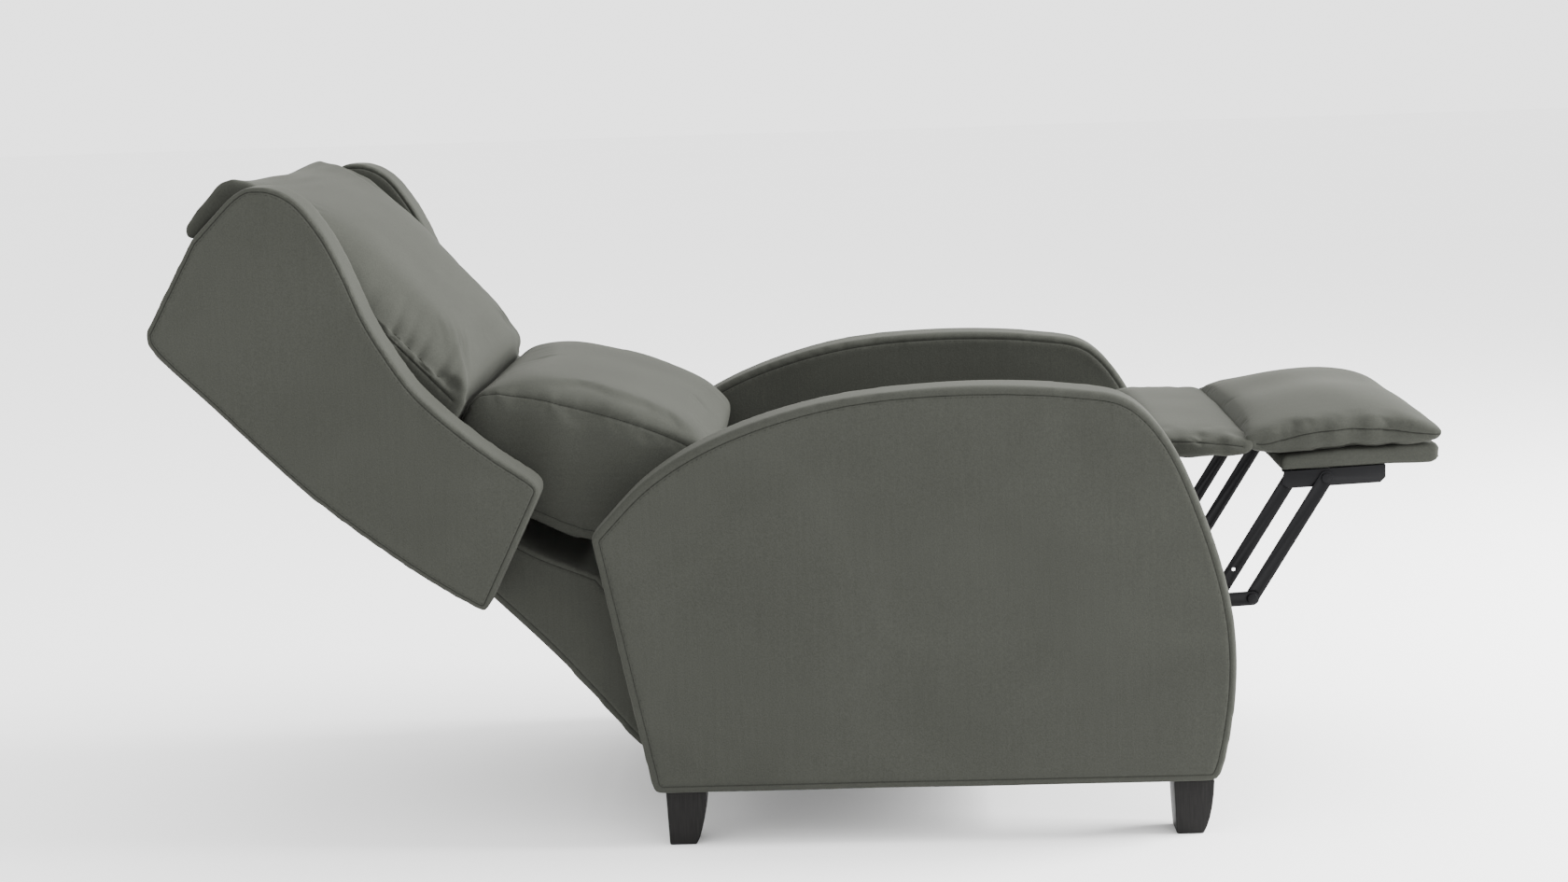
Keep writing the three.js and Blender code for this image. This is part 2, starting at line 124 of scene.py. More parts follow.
def stained_beech():
    # Beech has a short, fine fleck along the grain. Under black stain it shows
    # only as faint lighter streaks and in the lacquer's slightly uneven gloss.
    surface = {"IOR": 1.45, "Specular IOR Level": 0.14, "Coat Weight": 0.03, "Coat Roughness": 0.35}
    material, tree, shader = new_finish("Black stained beech, satin lacquer", surface)
    along = grain_coordinates(tree, 2.0 * MM, 40 * MM)
    fleck = add(tree, "ShaderNodeTexNoise", {"Vector": along, "Scale": 1.0, "Detail": 6.0}).outputs[0]
    tone = add(tree, "ShaderNodeValToRGB", {"Fac": fleck})
    tone.color_ramp.elements[0].position = 0.35
    tone.color_ramp.elements[0].color = linear("#0b0a0a")
    tone.color_ramp.elements[1].position = 0.75
    tone.color_ramp.elements[1].color = linear("#191817")
    tree.links.new(tone.outputs[0], shader.inputs["Base Color"])
    gloss = add(tree, "ShaderNodeMapRange", {"Value": fleck, "To Min": 0.45, "To Max": 0.6})
    tree.links.new(gloss.outputs[0], shader.inputs["Roughness"])
    relief = add(tree, "ShaderNodeBump", {"Height": fleck, "Strength": 0.25, "Distance": 0.15 * MM})
    tree.links.new(relief.outputs[0], shader.inputs["Normal"])
    return material


def eased_copy(node, radius, material, segments=2):
    """A node's own shape with its sharp edges eased, riding where the node rides."""
    solid = bmesh.new()
    solid.from_mesh(frame["nodes"][node].data)
    bmesh.ops.remove_doubles(solid, verts=solid.verts, dist=0.01 * MM)
    flat = math.radians(1.5)
    bmesh.ops.dissolve_limit(solid, angle_limit=flat, verts=solid.verts, edges=solid.edges)
    arris = math.radians(38)
    sharp = [e for e in solid.edges if e.is_manifold and e.calc_face_angle(0) > arris]
    bmesh.ops.bevel(solid, geom=sharp, offset=radius, segments=segments, profile=0.5,
                    affect="EDGES", material=-1, clamp_overlap=True)
    mesh = bpy.data.meshes.new(node + "_finished")
    solid.to_mesh(mesh)
    solid.free()
    mesh.shade_smooth()
    mesh.set_sharp_from_angle(angle=math.radians(32))
    mesh.materials.append(material)
    piece = bpy.data.objects.new(node + "_finished", mesh)
    scene.collection.objects.link(piece)
    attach(piece, frame["nodes"][node]["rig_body"])
    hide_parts(node)
    return piece


leg_wood = stained_beech()
for leg in LEGS:
    eased_copy(leg, LEG_EDGE, leg_wood, segments=3)


# ---- timber frame ----------------------------------------------------------
# Birch plywood boards and softwood rails, glued and stapled. All of it is
# under the upholstery, apart from the cross rails that show from below.

TIMBER = [name for name in frame["nodes"] if "frame" in name or "board" in name and "foot" not in name
          or "rail" in name or "stile" in name]


def sawn_timber():
    # Pale, dry, planed wood: wide growth bands and a fine fibre along them.
    material, tree, shader = new_finish("Planed softwood and birch plywood", {"Roughness": 0.75})
    along = grain_coordinates(tree, 9 * MM, 220 * MM, (0, math.radians(90), 0))
    band = add(tree, "ShaderNodeTexNoise", {"Vector": along, "Scale": 1.0, "Detail": 5.0}).outputs[0]
    tone = add(tree, "ShaderNodeValToRGB", {"Fac": band})
    tone.color_ramp.elements[0].position = 0.3
    tone.color_ramp.elements[0].color = linear("#a9855a")
    tone.color_ramp.elements[1].position = 0.7
    tone.color_ramp.elements[1].color = linear("#d2b48a")
    tree.links.new(tone.outputs[0], shader.inputs["Base Color"])
    relief = add(tree, "ShaderNodeBump", {"Height": band, "Strength": 0.3, "Distance": 0.2 * MM})
    tree.links.new(relief.outputs[0], shader.inputs["Normal"])
    return material


frame_wood = sawn_timber()
for name in TIMBER:
    frame["nodes"][name].material_slots[0].material = frame_wood


# ---- seat springs ----------------------------------------------------------
# Three sinuous springs of drawn steel wire, clipped to the front and rear seat
# rails. The drawing leaves a dull grey skin with lengthwise die lines.

SPRINGS = ["seat_spring_1", "seat_spring_2", "seat_spring_3"]


def drawn_wire():
    surface = {"Metallic": 1.0, "Base Color": linear("#8a8b8d")}
    material, tree, shader = new_finish("Drawn spring steel wire", surface)
    place = add(tree, "ShaderNodeTexCoord").outputs["Object"]
    skin = add(tree, "ShaderNodeTexNoise", {"Vector": place, "Scale": 1 / (3 * MM), "Detail": 3.0})
    gloss = add(tree, "ShaderNodeMapRange", {"Value": skin.outputs[0], "To Min": 0.3, "To Max": 0.5})
    tree.links.new(gloss.outputs[0], shader.inputs["Roughness"])
    return material


wire = drawn_wire()
for name in SPRINGS:
    frame["nodes"][name].material_slots[0].material = wire
    frame["nodes"][name].data.shade_smooth()


# ---- reclining and footrest mechanism --------------------------------------
# Flat bars, side plates, brackets and the tie tube, punched and bent from
# strip steel with slightly rolled edges, riveted together loose enough to
# turn, and powder coated black: an even skin with a fine orange peel.

STEEL = [name for name in frame["nodes"]
         if name.split("_", 1)[-1] in (
             "side_plate", "plate_bolt_1", "plate_bolt_2", "hinge_bracket", "hinge_pin", "carrier_arm",
             "fold_pin", "front_link", "rear_link", "foot_bracket", "front_low_pin", "tie_tube")]
STEEL_EDGE = 0.7 * MM


def powder_coat():
    surface = {"Base Color": linear("#08080a"), "IOR": 1.5, "Specular IOR Level": 0.12}
    material, tree, shader = new_finish("Black powder coat on steel", surface)
    place = add(tree, "ShaderNodeTexCoord").outputs["Object"]
    # Orange peel is about 1 mm across; it is drawn at 2 mm so that it shows.
    peel = add(tree, "ShaderNodeTexNoise", {"Vector": place, "Scale": 1 / (2 * MM), "Detail": 2.0})
    relief = add(tree, "ShaderNodeBump", {"Height": peel.outputs[0], "Strength": 0.3, "Distance": 0.08 * MM})
    tree.links.new(relief.outputs[0], shader.inputs["Normal"])
    dust = add(tree, "ShaderNodeTexNoise", {"Vector": place, "Scale": 1 / (45 * MM), "Detail": 4.0})
    gloss = add(tree, "ShaderNodeMapRange", {"Value": dust.outputs[0], "To Min": 0.36, "To Max": 0.52})
    tree.links.new(gloss.outputs[0], shader.inputs["Roughness"])
    return material


coat = powder_coat()
for name in STEEL:
    eased_copy(name, STEEL_EDGE, coat)


# ---- arms ------------------------------------------------------------------
# Each arm is a timber frame wrapped in foam and wadding under velvet. The two
# flat sides are joined to the band over the top by a felled seam, topstitched
# beside the seam line; the cloth is pulled round and stapled underneath.

ARM_OUTER = 370 * MM
ARM_INNER = 290 * MM
ARM_CURVE = [
    (-284, 424), (-207, 499), (-115, 552), (30, 596), (190, 611), (350, 604), (425, 588),
    (475, 538), (527, 420), (558, 300), (562, 200), (541, 85), (532, 74), (-213, 74),
]
ARM_CORNERS = (0, 12, 13)
ARM_SEAM_INSET = 11 * MM
ARM_DIPS = 0.8 * MM
SKIN_DROP = 0.6 * MM
STITCH_INSET = 3.4 * MM


def curve_through(points, spacing, corners=(), closed=True):
    """Points at even spacing on a smooth curve through some points, sharp at the numbered ones."""
    held = [np.array(p, float) for p in points]
    count = len(held)
    placed = []
    for i in range(count if closed else count - 1):
        j = (i + 1) % count
        a, b = held[i], held[j]
        start_free = i in corners or not closed and i == 0
        end_free = j in corners or not closed and j == count - 1
        before = 2 * a - b if start_free else held[i - 1]
        after = 2 * b - a if end_free else held[(j + 1) % count]
        gaps = [max(np.linalg.norm(q - p), 1e-9) ** 0.5 for p, q in ((before, a), (a, b), (b, after))]
        leave = (b - a) + gaps[1] * ((a - before) / gaps[0] - (b - before) / (gaps[0] + gaps[1]))
        arrive = (b - a) + gaps[1] * ((after - b) / gaps[2] - (after - a) / (gaps[1] + gaps[2]))
        steps = max(1, round(float(np.linalg.norm(b - a)) / spacing))
        for t in np.arange(steps) / steps:
            placed.append((2 * t**3 - 3 * t**2 + 1) * a + (t**3 - 2 * t**2 + t) * leave
                          + (3 * t**2 - 2 * t**3) * b + (t**3 - t**2) * arrive)
    if not closed:
        placed.append(held[-1])
    return np.array(placed)


def from_mm(points):
    return [tuple(c * MM for c in p) for p in points]


def drawn_in(outline, distance):
    """A closed outline moved inwards by a distance, without the loops that corners leave."""
    ahead, behind = np.roll(outline, -1, 0), np.roll(outline, 1, 0)
    turned = np.sum(outline[:, 0] * ahead[:, 1] - ahead[:, 0] * outline[:, 1])
    way = ahead - behind
    inward = np.c_[-way[:, 1], way[:, 0]] * np.sign(turned)
    inward /= np.linalg.norm(inward, axis=1)[:, None]
    moved = outline + inward * distance
    near = np.linalg.norm(moved[:, None] - outline[None], axis=2).min(1)
    return moved[near > distance * 0.96]


def settle_modifiers(piece):
    """Applies a piece's modifiers to its mesh."""
    graph = bpy.context.evaluated_depsgraph_get()
    made = bpy.data.meshes.new_from_object(piece.evaluated_get(graph))
    piece.modifiers.clear()
    old = piece.data
    piece.data = made
    bpy.data.meshes.remove(old)
    made.name = piece.name


def points_of(piece, kind="co"):
    values = np.empty(len(piece.data.vertices) * 3)
    piece.data.vertices.foreach_get(kind, values)
    return values.reshape(-1, 3)


def move_points(piece, points):
    piece.data.vertices.foreach_set("co", points.ravel())
    piece.data.update()


def ease(piece, rounds):
    """Relaxes the surface, which rounds its edges."""
    skin = bmesh.new()
    skin.from_mesh(piece.data)
    for _ in range(rounds):
        bmesh.ops.smooth_vert(skin, verts=skin.verts, factor=0.5,
                              use_axis_x=True, use_axis_y=True, use_axis_z=True)
    skin.to_mesh(piece.data)
    skin.free()


def stuffed(name, outline, low, high, grid, rounds):
    """A block of foam cut to an outline across the chair, with an even skin and eased edges."""
    block = bmesh.new()
    rim = [block.verts.new((x, low, z)) for x, z in outline]
    side = block.faces.new(rim)
    grown = bmesh.ops.extrude_face_region(block, geom=[side])["geom"]
    moved = [v for v in grown if isinstance(v, bmesh.types.BMVert)]
    bmesh.ops.translate(block, verts=moved, vec=(0, high - low, 0))
    bmesh.ops.recalc_face_normals(block, faces=block.faces)
    mesh = bpy.data.meshes.new(name)
    block.to_mesh(mesh)
    block.free()
    piece = bpy.data.objects.new(name, mesh)
    scene.collection.objects.link(piece)
    skin = piece.modifiers.new("Even skin", "REMESH")
    skin.mode = "VOXEL"
    skin.voxel_size = grid
    settle_modifiers(piece)
    ease(piece, rounds)
    return piece


def waves(points, length, seed, stretch=(1, 1, 1), count=9):
    """Smooth random relief between about -1 and 1, with a wavelength in metres."""
    chance = np.random.default_rng(seed)
    total = np.zeros(len(points))
    for _ in range(count):
        way = chance.normal(size=3)
        way /= np.linalg.norm(way)
        pace = 2 * math.pi / (length * chance.uniform(0.7, 1.5))
        total += np.sin((points / stretch) @ way * pace + chance.uniform(0, 2 * math.pi))
    return total / math.sqrt(count) / 1.4


def distance_to(piece, lines, reach):
    """For each point of a piece, the distance to the nearest line and how far along that line it is."""
    tree = KDTree(len(piece.data.vertices))
    for vertex in piece.data.vertices:
        tree.insert(vertex.co, vertex.index)
    tree.balance()
    nearest = np.full(len(piece.data.vertices), reach)
    along = np.zeros(len(piece.data.vertices))
    for line in lines:
        walked = 0.0
        for a, b in zip(line[:-1], line[1:]):
            length = float(np.linalg.norm(b - a))
            for t in np.arange(0, length, 1.0 * MM):
                spot = a + (b - a) * t / max(length, 1e-9)
                for _, index, gap in tree.find_range(spot, reach):
                    if gap < nearest[index]:
                        nearest[index] = gap
                        along[index] = walked + t
            walked += length
    return nearest, along


def on_surface(piece, line):
    """The nearest points on a piece to the points of a line."""
    tree = BVHTree.FromPolygons([v.co for v in piece.data.vertices],
                                [p.vertices for p in piece.data.polygons])
    return np.array([tree.find_nearest(Vector(p))[0] for p in line])


def sew(piece, seams, stitches=(), depth=1.3 * MM, pucker=0.35 * MM, pucker_length=17 * MM):
    """Sews seams into a piece: a narrow valley, small puckers beside it, and where its stitches run.

    The skin is refined round the seams first. The attributes seam and stitch hold
    the distance to the nearest line, and run holds how far along it a point is.
    """
    seams = [on_surface(piece, line) for line in seams]
    stitches = [on_surface(piece, line) for line in stitches]
    for reach in (9 * MM, 4.5 * MM):
        nearest, _ = distance_to(piece, seams, reach * 1.2)
        skin = bmesh.new()
        skin.from_mesh(piece.data)
        skin.verts.ensure_lookup_table()
        close = [e for e in skin.edges if max(nearest[e.verts[0].index], nearest[e.verts[1].index]) < reach]
        bmesh.ops.subdivide_edges(skin, edges=close, cuts=1, use_grid_fill=True)
        skin.to_mesh(piece.data)
        skin.free()
    far = 20 * MM
    nearest, along = distance_to(piece, seams, far)
    points, normals = points_of(piece), points_of(piece, "normal")
    valley = depth * np.exp(-(nearest / (1.6 * MM)) ** 2)
    swell = 0.5 * MM * np.exp(-((nearest - 6 * MM) / (4 * MM)) ** 2)
    ripple = waves(np.c_[along, along * 0, along * 0], pucker_length, 7, count=7)
    fade = np.where(nearest < far, np.exp(-nearest / (7 * MM)), 0)
    lift = swell + pucker * ripple * fade - valley
    move_points(piece, points + normals * lift[:, None])
    thread, run = distance_to(piece, stitches, far) if len(stitches) else (nearest * 0 + far, along)
    for label, values in (("seam", nearest), ("stitch", thread), ("run", run)):
        layer = piece.data.attributes.new(label, "FLOAT", "POINT")
        layer.data.foreach_set("value", values.astype(np.float32))


def side_line(outline, y):
    """A closed line on the side of a piece at y, from an outline in the x and z plane."""
    ring = [(x, y, z) for x, z in outline]
    return np.array(ring + ring[:1])


def velvet(name, nap):
    # Short polyester velvet: matt and deep when looked into, with a pale bloom
    # where the pile is seen side on. Brushing leaves soft streaks along the nap
    # and the loops of the backing show as a very fine grain.
    surface = {
        "Roughness": 0.92, "IOR": 1.4, "Specular IOR Level": 0.08, "Sheen Weight": 0.16,
        "Sheen Roughness": 0.35, "Sheen Tint": linear("#8f9088"),
    }
    material, tree, shader = new_finish(name, surface)
    # Pile tufts are about 0.4 mm apart; they are drawn at 2 mm so that they show.
    place = add(tree, "ShaderNodeTexCoord").outputs["Object"]
    tuft = add(tree, "ShaderNodeTexNoise", {"Vector": place, "Scale": 1 / (2.0 * MM), "Detail": 3.0})
    streaks = grain_coordinates(tree, 5 * MM, 90 * MM, nap)
    streak = add(tree, "ShaderNodeTexNoise", {"Vector": streaks, "Scale": 1.0, "Detail": 4.0})
    stroke = add(tree, "ShaderNodeTexNoise", {"Vector": place, "Scale": 1 / (150 * MM), "Detail": 3.0,
                                              "Distortion": 0.6})
    tone = add(tree, "ShaderNodeMapRange", {"Value": tuft.outputs[0], "From Min": 0.25, "From Max": 0.75,
                                            "To Min": 0.88, "To Max": 1.12})
    lean = add(tree, "ShaderNodeMapRange", {"Value": streak.outputs[0], "From Min": 0.3, "From Max": 0.7,
                                            "To Min": 0.975, "To Max": 1.025})
    patch = add(tree, "ShaderNodeMapRange", {"Value": stroke.outputs[0], "From Min": 0.3, "From Max": 0.7,
                                             "To Min": 0.95, "To Max": 1.06})
    both = add(tree, "ShaderNodeMath", {0: tone.outputs[0], 1: lean.outputs[0]}, operation="MULTIPLY")
    shade = add(tree, "ShaderNodeMath", {0: both.outputs[0], 1: patch.outputs[0]}, operation="MULTIPLY")
    # Painted shade: within about 1.3 mm of each seam the cloth is darkened to 0.42 of its colour, standing
    # in for the shade inside the seam's groove.
    seam = add(tree, "ShaderNodeAttribute", attribute_name="seam").outputs["Fac"]
    line = add(tree, "ShaderNodeMapRange", {"Value": seam, "From Min": 0.3 * MM, "From Max": 1.3 * MM,
                                            "To Min": 0.42, "To Max": 1.0}, interpolation_type="SMOOTHSTEP")
    stitch = add(tree, "ShaderNodeAttribute", attribute_name="stitch").outputs["Fac"]
    run = add(tree, "ShaderNodeAttribute", attribute_name="run").outputs["Fac"]
    # A stitch is 3.5 mm long and dips into the cloth at both its ends. Painted shade: along each stitch line
    # the cloth is darkened to 0.88, and to 0.55 at the stitch ends, for the shade in those dips.
    step = add(tree, "ShaderNodeMath", {0: run, 1: 3.5 * MM}, operation="PINGPONG")
    stitch_dip_shade = add(tree, "ShaderNodeMapRange", {"Value": step.outputs[0], "From Min": 0.0, "From Max": 1.6 * MM,
                                            "To Min": 0.55, "To Max": 0.88})
    beside = add(tree, "ShaderNodeMapRange", {"Value": stitch, "From Min": 0.4 * MM, "From Max": 1.3 * MM})
    thread = add(tree, "ShaderNodeMix", {"Factor": beside.outputs[0], "A": stitch_dip_shade.outputs[0], "B": 1.0},
                 data_type="FLOAT")
    # The painted shade of seams and stitches is multiplied into the cloth's colour here.
    sewn = add(tree, "ShaderNodeMath", {0: line.outputs[0], 1: thread.outputs[0]}, operation="MULTIPLY")
    total = add(tree, "ShaderNodeMath", {0: shade.outputs[0], 1: sewn.outputs[0]}, operation="MULTIPLY")
    grey = add(tree, "ShaderNodeMix", {"Factor": 1.0, "A": linear("#32332f"), "B": total.outputs[0]},
               data_type="RGBA", blend_type="MULTIPLY")
    tree.links.new(grey.outputs["Result"], shader.inputs["Base Color"])
    pile = add(tree, "ShaderNodeBump", {"Height": tuft.outputs[0], "Strength": 0.5, "Distance": 0.35 * MM})
    combed = add(tree, "ShaderNodeBump", {"Height": streak.outputs[0], "Strength": 0.2, "Distance": 0.5 * MM,
                                          "Normal": pile.outputs[0]})
    tree.links.new(combed.outputs[0], shader.inputs["Normal"])
    return material


def finish_soft(piece, material, body, nodes):
    """Gives an upholstered piece its cloth and the body it rides on, and hides the parts it stands for."""
    piece.data.materials.clear()
    piece.data.materials.append(material)
    piece.data.shade_smooth()
    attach(piece, body)
    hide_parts(*nodes)


upright_velvet = velvet("Grey velvet, nap brushed down", (0, 0, 0))
arm_outline = curve_through(from_mm(ARM_CURVE), 4 * MM, ARM_CORNERS)
arm_seam = drawn_in(arm_outline, ARM_SEAM_INSET)
arm_stitch = drawn_in(arm_outline, ARM_SEAM_INSET + STITCH_INSET)
for hand, low, high in (("left", ARM_INNER, ARM_OUTER), ("right", -ARM_OUTER, -ARM_INNER)):
    arm = stuffed(hand + "_arm_upholstery", arm_outline, low, high, 6 * MM, 5)
    dips = waves(points_of(arm), 240 * MM, 11) * ARM_DIPS - SKIN_DROP
    move_points(arm, points_of(arm) + points_of(arm, "normal") * dips[:, None])
    sew(arm, [side_line(arm_seam, low), side_line(arm_seam, high)],
        [side_line(arm_stitch, low), side_line(arm_stitch, high)])
    finish_soft(arm, upright_velvet, "base", [hand + "_arm_cover"])


# ---- dust cover ------------------------------------------------------------
# Thin black spun cloth, stretched and stapled under the frame between the arms
# to close it from below. It sags a little between the cross rails.

DUST_SAG = 5 * MM
DUST_THICK = 0.8 * MM


def spun_cloth():
    # Spun-bonded polypropylene: matt black, with a grid of tiny weld points.
    material, tree, shader = new_finish("Black spun lining cloth", {"Roughness": 0.95})
    place = add(tree, "ShaderNodeTexCoord").outputs["Object"]
    weld = add(tree, "ShaderNodeTexVoronoi", {"Vector": place, "Scale": 1 / (2.5 * MM), "Randomness": 0.1})
    tone = add(tree, "ShaderNodeMapRange", {"Value": weld.outputs["Distance"], "From Max": 0.6})
    black = add(tree, "ShaderNodeMix", {"Factor": tone.outputs[0], "A": linear("#131313"),
                                        "B": linear("#222222")}, data_type="RGBA")
    tree.links.new(black.outputs["Result"], shader.inputs["Base Color"])
    relief = add(tree, "ShaderNodeBump", {"Height": weld.outputs["Distance"], "Strength": 0.4,
                                          "Distance": 0.2 * MM})
    tree.links.new(relief.outputs[0], shader.inputs["Normal"])
    return material


lining = spun_cloth()
low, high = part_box("dust_cover")
middle, half = (low + high) / 2, (high - low) / 2
web = bmesh.new()
bmesh.ops.create_grid(web, x_segments=28, y_segments=36, size=1.0)
bmesh.ops.scale(web, verts=web.verts, vec=(half.x, half.y, 1))
for vertex in web.verts:
    drop = (1 - (vertex.co.x / half.x) ** 2) * (1 - (vertex.co.y / half.y) ** 2)
    vertex.co.z = -DUST_SAG * drop
bmesh.ops.translate(web, verts=web.verts, vec=(middle.x, middle.y, high.z))
bmesh.ops.solidify(web, geom=web.faces[:], thickness=DUST_THICK)
bmesh.ops.recalc_face_normals(web, faces=web.faces)
dust_mesh = bpy.data.meshes.new("dust_cloth")
web.to_mesh(dust_mesh)
web.free()
dust_mesh.shade_smooth()
dust_mesh.materials.append(lining)
dust_cloth = bpy.data.objects.new("dust_cloth", dust_mesh)
scene.collection.objects.link(dust_cloth)
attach(dust_cloth, "base")
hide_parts("dust_cover")


# ---- seat cushion ----------------------------------------------------------
# Pocketed foam seat in a boxed velvet cover: a top panel crowned across the
# chair, seamed to a band that runs down its sides and front.

SEAT_HALF = 284 * MM
SEAT_SIDE = [
    (18, 478), (50, 490), (110, 497), (200, 501), (340, 505), (425, 508), (452, 499), (461, 470),
    (460, 420), (447, 366), (440, 362), (66, 362), (58, 364), (40, 390), (33, 440),
]
SEAT_CROWN = 9 * MM
SEAT_SEAM_DROP = 22 * MM
FILLING_STEPS = 20


def crown(y, half, power):
    """1 in the middle of a cushion's width, falling to 0 at its edges."""
    return (1 - np.clip(np.abs(y) / half, 0, 1) ** power) ** (1 / 2.2)


def puff(piece, pressure, limit, pinned=None):
    """Fills a cushion: lets its cover swell as cloth under pressure, no point by more than the limit."""
    before = points_of(piece)
    cover = piece.modifiers.new("Filling", "CLOTH")
    cover.settings.quality = 4
    cover.settings.mass = 0.3
    cover.settings.tension_stiffness = 12
    cover.settings.compression_stiffness = 12
    cover.settings.bending_stiffness = 0.3
    cover.settings.use_pressure = True
    cover.settings.uniform_pressure_force = pressure
    cover.settings.effector_weights.gravity = 0
    cover.point_cache.frame_start = 1
    cover.point_cache.frame_end = FILLING_STEPS
    if pinned is not None:
        group = piece.vertex_groups.new(name="sewn")
        group.add([int(i) for i in np.flatnonzero(pinned)], 1.0, "REPLACE")
        cover.settings.vertex_group_mass = "sewn"
    for step in range(1, FILLING_STEPS + 1):
        scene.frame_set(step)
    settle_modifiers(piece)
    piece.vertex_groups.clear()
    moved = points_of(piece) - before
    length = np.maximum(np.linalg.norm(moved, axis=1), 1e-9)
    held = limit * np.tanh(length / limit) / length
    move_points(piece, before + moved * held[:, None])
    scene.frame_set(1)


lying_velvet = velvet("Grey velvet, nap brushed forward", (0, math.radians(90), 0))
WRAPPED_RAILS = ["front_cross_rail", "seat_front_rail", "rear_cross_rail"]
for rail in WRAPPED_RAILS:
    # These rails can be seen from in front or behind, so the velvet is wrapped round them.
    eased_copy(rail, 3 * MM, lying_velvet, segments=3)
seat_outline = curve_through(from_mm(SEAT_SIDE), 8 * MM, (10, 11))
seat = stuffed("seat_upholstery", seat_outline, -SEAT_HALF, SEAT_HALF, 7 * MM, 6)
points = points_of(seat)
top = np.clip((points[:, 2] - 0.44) / 0.06, 0, 1)
points[:, 2] += SEAT_CROWN * top * (crown(points[:, 1], SEAT_HALF, 3) - 0.9)
move_points(seat, points)
puff(seat, 2.0, 4 * MM)
seat_seams = []
for y in (-SEAT_HALF, SEAT_HALF):
    inner = drawn_in(seat_outline, SEAT_SEAM_DROP)
    run_line = [(x, y, z) for x, z in inner if z > 0.45 or x > 0.42]
    seat_seams.append(np.array(run_line))
sew(seat, seat_seams)
finish_soft(seat, lying_velvet, "base", ["seat_cushion"])


# ---- lower back ------------------------------------------------------------
# The tapering lower end of the back, a box of board and cloth that passes
# between the arms and carries the hinges. Its rear edges are piped by a seam.

LOWER_HALF = 264 * MM
LOWER_SIDE = [
    (-434, 330), (-358, 254), (-301, 189), (-240, 118), (-224, 108), (-206, 114), (-150, 160),
    (-146, 174), (-200, 246), (-284, 354), (-384, 398), (-446, 448), (-492, 416), (-482, 372),
]
lower_outline = curve_through(from_mm(LOWER_SIDE), 6 * MM, (0, 9, 11, 12))
lower_back = stuffed("lower_back_upholstery", lower_outline, -LOWER_HALF, LOWER_HALF, 6 * MM, 3)
lower_seam = drawn_in(lower_outline, 9 * MM)
sew(lower_back, [side_line(lower_seam, -LOWER_HALF), side_line(lower_seam, LOWER_HALF)])
finish_soft(lower_back, upright_velvet, "back", ["lower_back"])


# ---- outer back panel ------------------------------------------------------
# Velvet over thin foam and board between the wings. It runs from the lower
# back up behind the cushions and over the head end of the frame.

BETWEEN_WINGS = 299 * MM
PANEL_SEAM = 284 * MM
PANEL_SIDE = [
    (-850, 704), (-766, 608), (-697, 537), (-642, 485), (-561, 420), (-481, 363), (-437, 335),
    (-430, 347), (-473, 375), (-553, 431), (-633, 496), (-687, 547), (-756, 617), (-835, 708),
    (-775, 825), (-740, 858), (-747, 867), (-785, 832),
]
panel_outline = curve_through(from_mm(PANEL_SIDE), 6 * MM, (0, 6, 7, 13, 15, 16, 17))
panel = stuffed("outer_back_upholstery", panel_outline, -BETWEEN_WINGS, BETWEEN_WINGS, 4 * MM, 4)
rear_run = curve_through(from_mm(PANEL_SIDE[:7]), 6 * MM, closed=False)
panel_seams = [np.array([(x, y, z) for x, z in rear_run]) for y in (-PANEL_SEAM, PANEL_SEAM)]
sew(panel, panel_seams, depth=1.2 * MM)
finish_soft(panel, upright_velvet, "back", ["back_outer_panel"])


# ---- wings -----------------------------------------------------------------
# Plywood side wings in foam and velvet, bolted to the back frame. As on the
# arms, flat side panels are joined to the band round the edge by a felled,
# topstitched seam that follows the outline.

WING_OUTER = 370 * MM
WING_INNER = 300 * MM
WING_SEAM_INSET = 7 * MM
WING_DIPS = 0.7 * MM
WING_SIDE = [
    (-850, 693), (-768, 606), (-699, 535), (-644, 483), (-563, 418), (-483, 361), (-433, 331),
    (-424, 328), (-345, 488), (-350, 498), (-402, 536), (-445, 570), (-500, 622), (-538, 678),
    (-562, 722), (-586, 782), (-613, 836), (-645, 877), (-672, 893), (-694, 897), (-717, 894),
    (-786, 830), (-853, 710),
]
wing_outline = curve_through(from_mm(WING_SIDE), 4 * MM, (7, 8, 21, 22))
wing_seam = drawn_in(wing_outline, WING_SEAM_INSET)
wing_stitch = drawn_in(wing_outline, WING_SEAM_INSET + STITCH_INSET)
for hand, low, high in (("left", WING_INNER, WING_OUTER), ("right", -WING_OUTER, -WING_INNER)):
    wing = stuffed(hand + "_wing_upholstery", wing_outline, low, high, 5 * MM, 7)
    dips = waves(points_of(wing), 180 * MM, 23) * WING_DIPS - 0.5 * MM
    move_points(wing, points_of(wing) + points_of(wing, "normal") * dips[:, None])
    sew(wing, [side_line(wing_seam, low), side_line(wing_seam, high)],
        [side_line(wing_stitch, low), side_line(wing_stitch, high)])
    finish_soft(wing, upright_velvet, "back", [hand + "_wing_cover"])


# ---- upper back cushion ----------------------------------------------------
# A deep pillow of fibre in a velvet cover, laid between the wings. Its front
# panel is gathered into the side seams, and its padded upper end is folded
# over the head end of the back, where hook tape holds it.

PILLOW_HALF = 291 * MM
PILLOW_SIDE = [
    (-505, 500), (-470, 566), (-448, 604), (-443, 626), (-452, 653), (-470, 681), (-498, 714),
    (-551, 775), (-586, 814), (-620, 845), (-655, 868), (-690, 884), (-722, 892), (-745, 895),
    (-761, 891), (-784, 868), (-815, 832), (-810, 817), (-798, 818), (-786, 832), (-770, 846),
    (-748, 864), (-733, 868), (-738, 846), (-748, 812), (-762, 772), (-640, 622),
]
BACK_PLANE = np.array([-762, 772]) * MM
PLANE_OUT = np.array([0.72, 0.694])
PLANE_DOWN = np.array([0.694, -0.72])
SEAM_HEIGHT = 98 * MM
GATHER_DEPTH = 8.5 * MM
GATHER_SPACING = 58 * MM
GATHER_REACH = 60 * MM
GATHER_FADE = 46 * MM
HEAD_SAG = 9 * MM
HEM_AT = (-797 * MM, 862 * MM)

